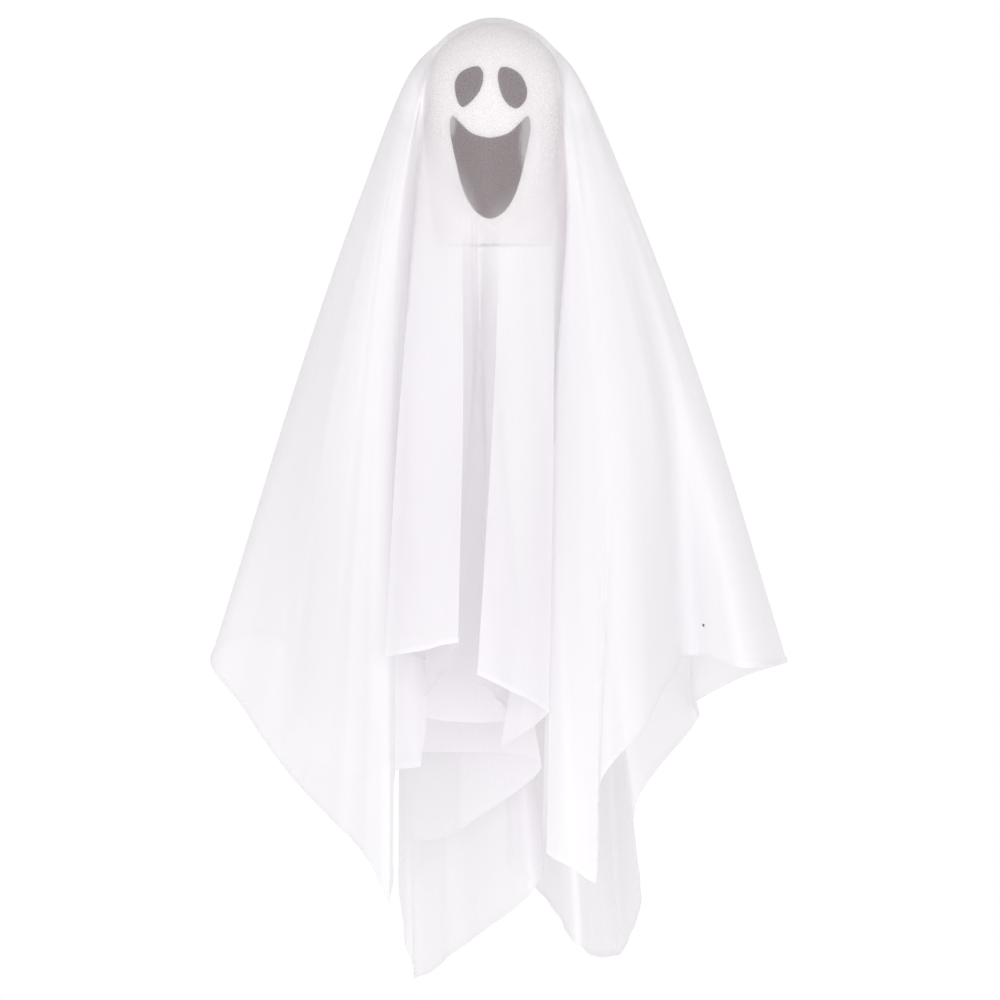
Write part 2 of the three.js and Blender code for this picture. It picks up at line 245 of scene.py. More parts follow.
def brushed_knit():
    """Brushed polyester knit: matt, with soft loops in columns. A real loop is about 0.7 mm wide and
    is drawn half as wide again, so that it shows."""
    material, tree = new_material("brushed_polyester_knit")
    place = add_node(tree, "ShaderNodeTexCoord").outputs["Object"]
    fluff = add_node(tree, "ShaderNodeTexNoise", None, Vector=place, Scale=FLUFF_SCALE, Detail=4.0,
                     Roughness=0.6)
    loops = add_node(tree, "ShaderNodeTexVoronoi", {"feature": "F1"}, Vector=place, Scale=1 / LOOP_WIDTH)
    pile = maths(tree, "MULTIPLY_ADD", loops.outputs["Distance"], -LOOP_DEPTH, fluff.outputs[0])
    patches = add_node(tree, "ShaderNodeTexNoise", None, Vector=place, Scale=PATCH_SCALE, Detail=2.0)
    colour = add_node(tree, "ShaderNodeMix", {"data_type": "RGBA"}, i0=patches.outputs[0],
                      i6=linear(KNIT_SHADE), i7=linear(KNIT_WHITE))
    bump = add_node(tree, "ShaderNodeBump", None, Height=pile, Strength=0.2, Distance=KNIT_RELIEF)
    shader = add_node(tree, "ShaderNodeBsdfPrincipled", None, Base_Color=colour.outputs[2],
                      Roughness=0.9, Normal=bump.outputs[0])
    shader.inputs["Sheen Weight"].default_value = 0.3
    shader.inputs["Sheen Roughness"].default_value = 0.5
    add_node(tree, "ShaderNodeOutputMaterial", None, Surface=shader.outputs[0])
    return material


def cap_profile():
    """The cap's section, down its outside, round the turned edge and up its inside, and how many of
    its points are on the outside."""
    outside = head_side(CAP_OUTSIDE, cap_low.z + CAP_TURN_THICK)
    last = outside[-1][0]
    thick = CAP_OUTSIDE - CAP_INSIDE
    edge = [(last - thick * inward, cap_low.z + CAP_TURN_THICK * rise) for inward, rise in CAP_EDGE]
    inside = head_side(CAP_INSIDE, cap_low.z + CAP_TURN_THICK)
    return outside + edge + inside[::-1], len(outside)


def cap_dent(profile, outside_count):
    """Pushes the outside in along the four seams, which fade out over the crown, and along the two
    rows of stitches, deeper at every stitch."""
    gore = 2 * math.pi / CAP_GORES

    def dent(turn, i):
        if i >= outside_count:
            return 0
        radius, z = profile[i]
        from_seam = abs((turn / gore + 0.5) % 1 - 0.5) * gore * radius
        seam = CAP_SEAM_DEPTH * math.exp(-((from_seam / CAP_SEAM_WIDTH) ** 2))
        seam *= min(1, radius / (CAP_SEAM_FADE * CORE_RADIUS))
        up = z - cap_low.z
        rows = sum(math.exp(-(((up - row) / CAP_STITCH_WIDTH) ** 2)) for row in CAP_STITCH_ROWS)
        swing = 1 - CAP_STITCH_SWING + CAP_STITCH_SWING * math.cos(turn * CAP_STITCHES)
        return seam + CAP_STITCH_DEPTH * rows * swing
    return dent


knit_profile, knit_outside = cap_profile()
knit_dent = cap_dent(knit_profile, knit_outside)
knit_cap = turned("knit_cap", knit_profile[::-1], brushed_knit(), CAP_SIDES,
                  lambda turn, i: knit_dent(turn, len(knit_profile) - 1 - i))
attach(knit_cap, "root")
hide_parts("head_cap")


# The face. Black polyester craft felt, cut out with scissors and glued to the front of the cap: two
# leaning eyes and one open mouth. The cut edges are a little fuzzy and rounded.
FELT_INSIDE = 1.8 * MM
FELT_OUTSIDE = 2.6 * MM
FELT_STEP = 1.2 * MM
FELT_CLEAR = 0.6
FELT_EDGE_REACH = 0.5 * MM
FELT_EDGE_THICK = 0.55
FELT_RELIEF = 0.25 * MM
FIBRE_SCALE = 1400.0
WORN_SCALE = 150.0
# A warm black that the light over it lifts, as the photograph shows it
FELT_BLACK = "#3b1b1c"
FELT_WORN = "#543438"
CURVE_STEPS = 10

# The outlines seen from the front, in millimetres. The curve through their points bulges a little.
LEFT_EYE = [[-7.8, -26.8], [-5.7, -30.4], [-7.3, -39], [-16, -47.6],
            [-18.6, -45], [-20.2, -35.4], [-17.6, -30], [-11, -26.8]]
RIGHT_EYE = [[3.8, -27.2], [8.8, -27.7], [14, -31.4], [17.1, -39.2],
             [15.6, -45.2], [11.4, -48.4], [6.2, -45.2], [2.6, -36.6], [2.2, -30.2]]
MOUTH_MIDDLE = -2
MOUTH_HALF = [[1, -63.6], [9.6, -61.2], [15.4, -56], [19.6, -52.2], [20.8, -58],
              [19.6, -66.5], [17.6, -76], [15.2, -86], [11.8, -95], [6.4, -102.4], [0, -105.2]]


def craft_felt():
    """Needled polyester felt: matt black, with short fibres in every direction."""
    material, tree = new_material("black_polyester_felt")
    place = add_node(tree, "ShaderNodeTexCoord").outputs["Object"]
    fibres = add_node(tree, "ShaderNodeTexNoise", None, Vector=place, Scale=FIBRE_SCALE, Detail=3.0,
                      Distortion=1.5)
    patches = add_node(tree, "ShaderNodeTexNoise", None, Vector=place, Scale=WORN_SCALE, Detail=2.0)
    blend = maths(tree, "MULTIPLY", fibres.outputs[0], patches.outputs[0])
    colour = add_node(tree, "ShaderNodeMix", {"data_type": "RGBA"}, i0=blend,
                      i6=linear(FELT_BLACK), i7=linear(FELT_WORN))
    bump = add_node(tree, "ShaderNodeBump", None, Height=fibres.outputs[0], Strength=0.7,
                    Distance=FELT_RELIEF)
    shader = add_node(tree, "ShaderNodeBsdfPrincipled", None, Base_Color=colour.outputs[2],
                      Roughness=0.95, Normal=bump.outputs[0])
    shader.inputs["Sheen Weight"].default_value = 0.25
    add_node(tree, "ShaderNodeOutputMaterial", None, Surface=shader.outputs[0])
    return material


def hermite(p1, p2, leave, arrive, share):
    """A point between p1 and p2 on the cubic with these tangents at its ends."""
    square, cube = share ** 2, share ** 3
    return ((2 * cube - 3 * square + 1) * p1 + (cube - 2 * square + share) * leave
            + (3 * square - 2 * cube) * p2 + (cube - square) * arrive)


def catmull_rom(p0, p1, p2, p3, share):
    """A point between p1 and p2 on the centripetal Catmull-Rom curve through four points, which are
    arrays whose last axis is the coordinates."""
    def root(a, b):
        return np.maximum(np.sum((a - b) ** 2, axis=-1, keepdims=True) ** 0.25, 1e-6)
    before, here, after = root(p0, p1), root(p1, p2), root(p2, p3)
    leave = ((p1 - p0) / before - (p2 - p0) / (before + here) + (p2 - p1) / here) * here
    arrive = ((p2 - p1) / here - (p3 - p1) / (here + after) + (p3 - p2) / after) * here
    return hermite(p1, p2, leave, arrive, share)


def closed_curve(points, steps):
    """A smooth closed outline through the points, with so many steps between two of them."""
    points = np.array(points, float)
    around = [np.roll(points, shift, axis=0) for shift in (1, 0, -1, -2)]
    return np.concatenate([catmull_rom(*[p[i] for p in around], s / steps)[None]
                           for i in range(len(points)) for s in range(steps)])


def near_edge(p, edge):
    """How far a point is from the nearest point of an outline."""
    return float(np.min(np.hypot(edge[:, 0] - p[0], edge[:, 1] - p[1])))


def outline_area(outline):
    """The area inside an outline, in square metres."""
    x, z = closed_curve(outline, CURVE_STEPS).T * MM
    return abs(float(np.sum(x * np.roll(z, -1) - z * np.roll(x, -1)))) / 2


def on_head(p, out):
    """The point on the front of the head that is seen at p and stands so far off the foam."""
    radius = head_radius(p.y, out)
    return p.x, -math.sqrt(max(radius ** 2 - p.x ** 2, 0)), p.y


def felt_piece(name, outline, material):
    """A felt shape cut to an outline seen from the front, laid on the round of the cap."""
    edge = closed_curve(outline, CURVE_STEPS) * MM
    low, high = edge.min(0), edge.max(0)
    inside = [mathutils.Vector((x, z)) for x in np.arange(low[0], high[0], FELT_STEP)
              for z in np.arange(low[1], high[1], FELT_STEP)]
    ring = [mathutils.Vector(p) for p in edge]
    flat, _, faces, _, _, _ = mathutils.geometry.delaunay_2d_cdt(
        ring + [p for p in inside if near_edge(p, edge) > FELT_STEP * FELT_CLEAR], [],
        [list(range(len(ring)))], 1, 1e-7)
    count = len(flat)
    vertices = [on_head(p, FELT_INSIDE) for p in flat]
    for p in flat:
        rim = min(1.0, near_edge(p, edge) / FELT_EDGE_REACH)
        thick = FELT_EDGE_THICK + (1 - FELT_EDGE_THICK) * math.sqrt(rim)
        vertices.append(on_head(p, FELT_INSIDE + (FELT_OUTSIDE - FELT_INSIDE) * thick))
    front = [tuple(count + i for i in face) for face in faces]
    back = [tuple(reversed(face)) for face in faces]
    edges = [pair for face in faces for pair in zip(face, face[1:] + face[:1])]
    shared = set(edges)
    rims = [(a, b, count + b, count + a) for a, b in edges if (b, a) not in shared]
    return mesh_object(name, vertices, front + back + rims, material)


right_half = [[MOUTH_MIDDLE + x, z] for x, z in MOUTH_HALF]
left_half = [[MOUTH_MIDDLE - x, z] for x, z in MOUTH_HALF[-2::-1]]
mouth = right_half + left_half
felt = craft_felt()
for node, outline in (("left_eye", LEFT_EYE), ("right_eye", RIGHT_EYE), ("mouth", mouth)):
    cut = felt_piece("felt_" + node, outline, felt)
    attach(cut, "root")
    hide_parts(node)
    outline_area(outline)


# The two discs on the hanging thread. White polyethylene, punched from sheet: the upper one spreads
# the pull under the cloth and is bent over the head by it, and the lower one stops the foam head from
# sliding off the knot.
DISC_EDGE_ROUND = 0.4 * MM
DISC_SIDES = 96
DISC_WHITE = "#e8e8e6"
DISC_GLOW = 1 * MM
SCUFF_SCALE = 700.0
SCUFF_ROUGHNESS = (0.35, 0.55)
POLYETHYLENE_IOR = 1.51


def polyethylene():
    """Polyethylene sheet: waxy, half matt and slightly see-through, with fine scuffs."""
    material, tree = new_material("polyethylene_sheet")
    place = add_node(tree, "ShaderNodeTexCoord").outputs["Object"]
    scuffs = add_node(tree, "ShaderNodeTexNoise", None, Vector=place, Scale=SCUFF_SCALE, Detail=3.0)
    gloss = add_node(tree, "ShaderNodeMapRange", None, Value=scuffs.outputs[0],
                     To_Min=SCUFF_ROUGHNESS[0], To_Max=SCUFF_ROUGHNESS[1])
    shader = add_node(tree, "ShaderNodeBsdfPrincipled", None, Base_Color=linear(DISC_WHITE),
                      Roughness=gloss.outputs[0], IOR=POLYETHYLENE_IOR)
    shader.inputs["Subsurface Weight"].default_value = 0.2
    shader.inputs["Subsurface Radius"].default_value = (DISC_GLOW, DISC_GLOW, DISC_GLOW)
    add_node(tree, "ShaderNodeOutputMaterial", None, Surface=shader.outputs[0])
    return material


def disc(name, node, material, bend=0):
    """A washer with rounded edges in the place of a node. bend is the radius of what it is pulled
    down over, if it is."""
    low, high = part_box(node)
    rounding = [(math.cos(turn), math.sin(turn)) for turn in map(math.radians, (0, 30, 60, 90))]
    outer = high.x - DISC_EDGE_ROUND
    inner = BORE_RADIUS + DISC_EDGE_ROUND
    top, base = high.z - DISC_EDGE_ROUND, low.z + DISC_EDGE_ROUND
    corners = ((outer, top, 1, 1), (inner, top, -1, 1), (inner, base, -1, -1), (outer, base, 1, -1))
    profile = []
    for x, z, sign_x, sign_z in corners:
        arc = [(x + sign_x * DISC_EDGE_ROUND * c, z + sign_z * DISC_EDGE_ROUND * s) for c, s in rounding]
        profile += arc if sign_x * sign_z > 0 else arc[::-1]
    if bend:
        profile = [(r, z - (bend - math.sqrt(bend ** 2 - r ** 2))) for r, z in profile]
    piece = turned(name, profile, material, DISC_SIDES)
    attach(piece, "root")
    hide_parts(node)


waxy = polyethylene()
disc("upper_disc", "top_disc", waxy, CORE_RADIUS + CAP_OUTSIDE)
disc("lower_disc", "stop_disc", waxy)


# The sheet. One rectangle of sheer white polyester voile with a narrow turned hem, pierced in the
# middle for the thread. It lies over the head and falls in folds to four corners and two side points.
SHEET_FLAT = (750 * MM, 820 * MM)
SHEET_MIDDLE = 39.5 * MM
SHEET_DOME = 40.0 * MM
BUMP_RADIUS = 8.9 * MM
BUMP_SLOPE = 3 * MM
BUMP_HEIGHT = 0.5 * MM
SHOULDER_SIDE = 20 * MM
SHOULDER_FRONT = 8 * MM
SHOULDER_TURN = 0.35
SIDE_LEAVE = 45
NECK_LEVEL = -95 * MM
CHEST_LEVEL = -199 * MM
POINT_REACH = 150 * MM
CORNER_REACH = 150 * MM
LONGEST_FALL = 507 * MM
DOME_STEPS = 4

# The voile: its colours, its threads, and how much of what is behind it one layer hides
VOILE_WHITE = "#f8f7fa"
VOILE_THROUGH = "#faf5f8"
VOILE_THROUGH_SHARE = 0.33
THREAD_SPACING = 1.2 * MM
STRETCHED_NARROW = 3.2
STRETCHED_REACH = 126 * MM
HANGING_REACH = 175 * MM
STRETCHED_COVER = 0.27
HANGING_COVER = 0.66
WEAVE_COVER = 0.005
SLUB_SCALE = 1500.0
SLUB_RANGE = (0.3, 0.7)
SLUB_COVER = 0.027
# Where the stretched cloth stands off what is under it and hides more, each with its middle, its reach,
# how ragged its edge is and how much more it hides: over the upper disc, by the right side and the left
# corner of the mouth, and where it leaves the sides of the head
STREAK_SCALES = (900.0, 900.0, 160.0)
STAND_OFFS = (((0, 0, 0), (44 * MM, 30 * MM, 22 * MM), 0.2, 0.4),
              ((19 * MM, -36 * MM, -66 * MM), (7 * MM, 20 * MM, 24 * MM), 0.4, 0.26),
              ((-24 * MM, -33 * MM, -56 * MM), (5.5 * MM, 20 * MM, 10 * MM), 0.4, 0.26),
              ((-42 * MM, 0, -30 * MM), (14 * MM, 45 * MM, 36 * MM), 0, 0.4),
              ((42 * MM, 0, -30 * MM), (14 * MM, 45 * MM, 36 * MM), 0, 0.4))
# The shares of its reach where each begins and is complete
STAND_OFF_EDGE = (1.0, 0.5)

# The ribs of the sheet, from the point at the viewer's right round by the front, left and back: name,
# direction on the dome and how far down it the sheet leaves it, in degrees, then the places at the
# neck, chest and hem, in hundredths of the covered head's radius and of the sheet's reach and fall
RIBS = [
    ("right point", 0, 48, [0, 183], [74, 0], [101.5, 2.5, -66.1]),
    ("right front a", -4, 49, [-7, 176], [68.5, -14.5], [86, -28, -66.5]),
    ("curl valley", -8, 50, [-15, 165], [60, -20], [68, -9.5, -65.3]),
    ("right front b", -12, 55, [-22, 155], [54, -34.5], [59.5, -41.5, -68.2]),
    ("right front c", -16, 60, [-27, 148], [47.5, -41.5], [49.5, -65.5, -72.8]),
    ("right front d", -20, 65, [-31, 140], [40.5, -45.5], [36.5, -77.5, -77.7]),
    ("front right corner", -24, 69, [-34, 136], [34, -45], [34.5, -85.5, -87.7]),
    ("corner inside a", -27, 71, [-36, 129], [27.5, -43], [26.5, -84.5, -86.2]),
    ("corner inside b", -31, 74, [-37, 122], [20.8, -38], [17.6, -80.5, -84.8]),
    ("right groove", -34, 89, [-18, 101], [23, -6], [19.5, -2, -71.6]),
    ("right tuck", -38, 91, [-29, 100], [18.5, -30.5], [2.5, -56, -74.4]),
    ("right flap edge", -43, 90, [-42, 103], [20.5, -42.5], [18.6, -70.5, -70.8]),
    ("right flap", -58, 92, [-65, 100], [10.5, -48], [4.5, -82.5, -68.4]),
    ("right flap fold", -73, 93, [-84, 100], [0, -45.5], [-5.5, -86.5, -66.9]),
    ("recess right", -90, 93, [-97, 102], [-4.5, -7], [4, -14, -72]),
    ("recess left", -95, 93, [-101, 102], [-6.5, -7], [-24, -14, -71.6]),
    ("left flap fold", -111, 93, [-114, 103], [-10.5, -45.5], [-12.5, -86.5, -63.7]),
    ("left flap", -127, 92, [-133, 108], [-21.5, -46.5], [-24, -86.5, -64.5]),
    ("left flap edge", -143, 88, [-150, 115], [-32, -41.5], [-37.5, -78.5, -65.1]),
    ("left groove", -149, 90, [-171, 104], [-30, -18], [-24, -30, -65.7]),
    ("left strip", -151, 86, [-166, 110], [-31, -22], [-25, -38, -76.4]),
    ("left fold edge", -153, 75, [-160, 118], [-33, -25], [-33.9, -41.5, -76.8]),
    ("front left corner", -156, 70, [-151, 138], [-34.5, -33], [-35, -93.5, -89.7]),
    ("left front a", -161, 66, [-154, 147], [-40, -37.5], [-42, -84, -85.6]),
    ("left front b", -168, 56, [-161, 157], [-52, -31.5], [-70, -42, -77.2]),
    ("left front c", -174, 48, [-171, 168], [-62.5, -17.5], [-86, -20, -70.8]),
    ("left point", -180, 45, [-180, 178], [-70.5, 0], [-98, 0, -65.5]),
    ("left back a", -188, 50, [-188, 170], [-67, 14], [-76, 20, -63.5]),
    ("left pleat", -193, 54, [-194, 158], [-57, 24], [-65.6, 38, -70.5]),
    ("left back b", -197, 58, [-199, 180], [-66, 34], [-75.5, 58, -74.4]),
    ("left back c", -204, 64, [-208, 150], [-46, 34], [-50.5, 66, -78.5]),
    ("left inner fold", -211, 69, [-213, 128], [-22, 16], [-27, 30, -75.4]),
    ("left back valley", -217, 74, [-217, 104], [-6, 5], [16.4, 16, -76.6]),
    ("left inner return", -222, 76, [-221, 120], [-12, 17], [-12, 34, -83.7]),
    ("left back d", -228, 78, [-227, 145], [-31, 42], [-32, 64, -86.2]),
    ("back left corner", -238, 81, [-236, 182], [-30, 64], [-28.5, 100, -100]),
    ("back a", -247, 85, [-246, 140], [-18, 46], [-14, 74, -96.8]),
    ("back left valley", -256, 88, [-253, 102], [-2, 20], [14, 34, -89.7]),
    ("back b", -265, 90, [-261, 128], [2, 38], [17, 52, -86.8]),
    ("back c", -273, 90, [-270, 168], [2, 58], [4.5, 80, -87.6]),
    ("back d", -282, 88, [-280, 160], [9, 60], [14, 86, -89.9]),
    ("back right valley", -292, 85, [-294, 106], [18, 22], [30, 42, -95.7]),
    ("back right corner", -302, 82, [-306, 182], [34, 64], [44.5, 101.5, -97.6]),
    ("right back a", -312, 78, [-316, 142], [35, 40], [51.5, 66, -91.9]),
    ("right back valley", -322, 72, [-324, 104], [28, 14], [49.5, 22, -80.7]),
    ("right back b", -332, 64, [-335, 146], [50, 32], [71.5, 48, -72.2]),
    ("right back c", -342, 56, [-344, 178], [66, 34], [70, 33.5, -70.6]),
    ("right back d", -351, 51, [-352, 172], [68, 12], [86.5, 20, -67.7]),
]
# Ribs where the cloth is sharply bent: the corners near the hem, and the creases from the head down
CORNER_RIBS = ("right point", "front right corner", "front left corner", "back left corner",
               "back right corner")
CREASE_RIBS = ("corner inside b", "right groove", "right tuck", "right flap edge", "right flap fold",
               "left flap fold", "left flap edge", "left groove", "left strip", "left fold edge",
               "left pleat", "left inner fold", "left inner return")
CORNER_FROM = 0.75
CREASE_FROM = 0.3
CREASE_OVER = 0.15
SHARP_BEND = 50

# The mesh: the distance between its columns at the hem, and its rows over the flat top and in each
# stretch between two places of a rib
COLUMN_STEP = 3.45 * MM
FEWEST_COLUMNS = 4
TOP_ROWS = 10
STRETCH_ROWS = (4, 4, 4, 4, 5, 14, 24, 56)

# The small upright waves: how many go round and how deep they are, where they begin as a share of the
# rows, how much and over how many waves they swell and fade, and how they lean and wander on the way down
RIPPLE_SEED = 11
RIPPLE_COUNTS = (37, 61, 97, 149, 211)
RIPPLE_DEPTHS = (0.7 * MM, 0.5 * MM, 0.3 * MM, 0.12 * MM, 0.08 * MM)
RIPPLE_FROM = 0.3
RIPPLE_SWELL = 0.4
RIPPLE_GROUP = 9
RIPPLE_LEAN = 2
RIPPLE_WANDER = 1.5
RIPPLE_BENDS = 3

# The turned hem, with the shares of its lift and of its width at each of its rows
HEM_WIDTH = 3.0 * MM
HEM_LIFT = 0.35 * MM
HEM_ROWS = ((0, 0), (1, 0.15), (1, 1))


def polar(radius, degrees, z):
    """A point from its radius, its direction and its height."""
    return [radius * math.cos(math.radians(degrees)), radius * math.sin(math.radians(degrees)), z]


def rib_places(turn, leave, neck, chest, hem):
    """The places that one rib runs through, from the edge of the flat top to the hem."""
    start = math.degrees(math.asin((BUMP_RADIUS + BUMP_SLOPE) / SHEET_MIDDLE))
    places = []
    for i in range(DOME_STEPS + 1):
        angle = math.radians(start + (leave - start) * i / DOME_STEPS)
        height = HEAD_MIDDLE + SHEET_DOME * math.cos(angle)
        places.append(polar(SHEET_MIDDLE * math.sin(angle), turn, height))
    length = SHOULDER_FRONT + (SHOULDER_SIDE - SHOULDER_FRONT) * (90 - leave) / (90 - SIDE_LEAVE)
    angle = math.radians(leave)
    radius = SHEET_MIDDLE * math.sin(angle) + length * math.cos(angle)
    height = HEAD_MIDDLE + SHEET_DOME * math.cos(angle) - length * math.sin(angle)
    places.append(polar(radius, turn + SHOULDER_TURN * (neck[0] - turn), height))
    places.append(polar(SHEET_MIDDLE * neck[1] / 100, neck[0], NECK_LEVEL))
    places.append([POINT_REACH * chest[0] / 100, CORNER_REACH * chest[1] / 100, CHEST_LEVEL])
    places.append([POINT_REACH * hem[0] / 100, CORNER_REACH * hem[1] / 100,
                   LONGEST_FALL * hem[2] / 100])
    return places


def rib_rows():
    """Every rib's points at the same rows: an array of ribs, rows and coordinates."""
    places = np.array([rib_places(*rib[1:]) for rib in RIBS])
    first = 2 * places[:, :1] - places[:, 1:2]
    last = 2 * places[:, -1:] - places[:, -2:-1]
    places = np.concatenate([first, places, last], axis=1)
    rows = []
    for stretch, count in enumerate(STRETCH_ROWS):
        four = [places[:, stretch + i] for i in range(4)]
        rows += [catmull_rom(*four, step / count) for step in range(count)]
    rows.append(places[:, -2])
    return np.stack(rows, axis=1)


def column_places(ribs):
    """Where the columns of the cloth lie between the ribs, evenly spaced along the hem."""
    gaps = np.linalg.norm(np.roll(ribs[:, -1], -1, axis=0) - ribs[:, -1], axis=1)
    places = []
    for rib, gap in enumerate(gaps):
        count = max(FEWEST_COLUMNS, round(float(gap / COLUMN_STEP)))
        places += [rib + step / count for step in range(count)]
    return np.array(places)


def bend_sharpness(rows):
    """How sharply the cloth is bent at each rib and row, from 0 for a round bend to 1."""
    down = np.linspace(0, 1, rows)
    corner = np.clip((down - CORNER_FROM) / (1 - CORNER_FROM), 0, 1) ** 2
    crease = np.clip((down - CREASE_FROM) / CREASE_OVER, 0, 1)
    soft = np.zeros(rows)
    return np.array([corner if rib[0] in CORNER_RIBS else crease if rib[0] in CREASE_RIBS else soft
                     for rib in RIBS])[:, :, None]


def sheet_grid(ribs, places):
    """The middle of the cloth as columns, rows and coordinates, from the hole to the hem."""
    rib = places.astype(int)
    share = (places - rib)[:, None, None]
    around = [ribs[(rib + shift) % len(ribs)] for shift in (-1, 0, 1, 2)]
    smooth = catmull_rom(*around, share)
    straight = around[1] + (around[2] - around[1]) * share
    sharp = bend_sharpness(ribs.shape[1])
    bent = sharp[rib] * (1 - share) ** 2 + sharp[(rib + 1) % len(ribs)] * share ** 2
    grid = smooth + (straight - smooth) * np.clip(bent, 0, 1)
    turns = np.arctan2(grid[:, 0, 1], grid[:, 0, 0])
    start = np.hypot(grid[:, 0, 0], grid[:, 0, 1])
    top = []
    for i in range(TOP_ROWS):
        part = i / TOP_ROWS
        radius = BORE_RADIUS + (start - BORE_RADIUS) * part
        raised = BUMP_HEIGHT * (1 - max(0, 2 * part - 1) ** 2)
        z = grid[:, 0, 2] + (start ** 2 - radius ** 2) / (2 * SHEET_DOME) + raised
        top.append(np.stack([radius * np.cos(turns), radius * np.sin(turns), z], axis=1))
    return np.concatenate([np.stack(top, axis=1), grid], axis=1)


def grid_normals(grid):
    """The outward direction at each point of the cloth."""
    across = np.roll(grid, -1, axis=0) - np.roll(grid, 1, axis=0)
    normals = np.cross(np.gradient(grid, axis=1), across)
    return normals / np.maximum(np.linalg.norm(normals, axis=2, keepdims=True), 1e-12)


def rippled(grid):
    """The cloth with the small upright waves that hanging voile has, deeper towards the hem."""
    chance = np.random.default_rng(RIPPLE_SEED)
    hem = np.linalg.norm(np.roll(grid[:, -1], -1, axis=0) - grid[:, -1], axis=1)
    turn = 2 * math.pi * (np.cumsum(hem) - hem)[:, None] / hem.sum()
    down = np.linspace(0, 1, grid.shape[1])[None, :]
    push = np.zeros(grid.shape[:2])
    for count, depth in zip(RIPPLE_COUNTS, RIPPLE_DEPTHS):
        start, drift, swell = chance.uniform(0, 2 * math.pi, 3)
        group = turn * round(count / RIPPLE_GROUP) + swell + RIPPLE_LEAN * down
        strength = 1 - RIPPLE_SWELL + RIPPLE_SWELL * np.sin(group)
        wander = RIPPLE_WANDER * np.sin(RIPPLE_BENDS * down + drift)
        push += depth * strength * np.sin(count * turn + start + wander)
    push *= np.clip((down - RIPPLE_FROM) / (1 - RIPPLE_FROM), 0, 1)
    return grid + grid_normals(grid) * push[:, :, None]


def hem_turning(grid):
    """The narrow strip that is turned up once inside the edge: its columns and its three rows."""
    inward = -grid_normals(grid)[:, -1]
    upward = grid[:, -2] - grid[:, -1]
    upward /= np.linalg.norm(upward, axis=1, keepdims=True)
    rows = [grid[:, -1] + inward * HEM_LIFT * lift + upward * HEM_WIDTH * rise
            for lift, rise in HEM_ROWS]
    return np.stack(rows, axis=1)


def flat_places(grid, places):
    """Where each point of the grid lies on the flat cloth, in metres from its middle."""
    half_width, half_length = SHEET_FLAT[0] / 2, SHEET_FLAT[1] / 2
    corner = math.degrees(math.atan2(half_length, half_width))
    known = {"right point": 0, "front right corner": -corner, "recess right": -90,
             "front left corner": corner - 180, "left point": -180, "back left corner": -180 - corner,
             "back c": -270, "back right corner": corner - 360}
    at = [i for i, rib in enumerate(RIBS) if rib[0] in known] + [len(RIBS)]
    turns = [known[RIBS[i][0]] for i in at[:-1]] + [-360]
    turn = np.radians(np.interp(places, at, turns))
    steps = np.linalg.norm(np.diff(grid, axis=1), axis=2)
    along = np.concatenate([np.zeros((len(grid), 1)), np.cumsum(steps, axis=1)], axis=1)
    share = along / along[:, -1:]
    edge = np.minimum(half_width / np.maximum(np.abs(np.cos(turn)), 1e-6),
                      half_length / np.maximum(np.abs(np.sin(turn)), 1e-6))
    radius = share * edge[:, None]
    return np.stack([radius * np.cos(turn)[:, None], radius * np.sin(turn)[:, None]], axis=2)


def length_of(tree, vector):
    """The output of a node that takes the length of a vector."""
    return add_node(tree, "ShaderNodeVectorMath", {"operation": "LENGTH"}, i0=vector).outputs["Value"]


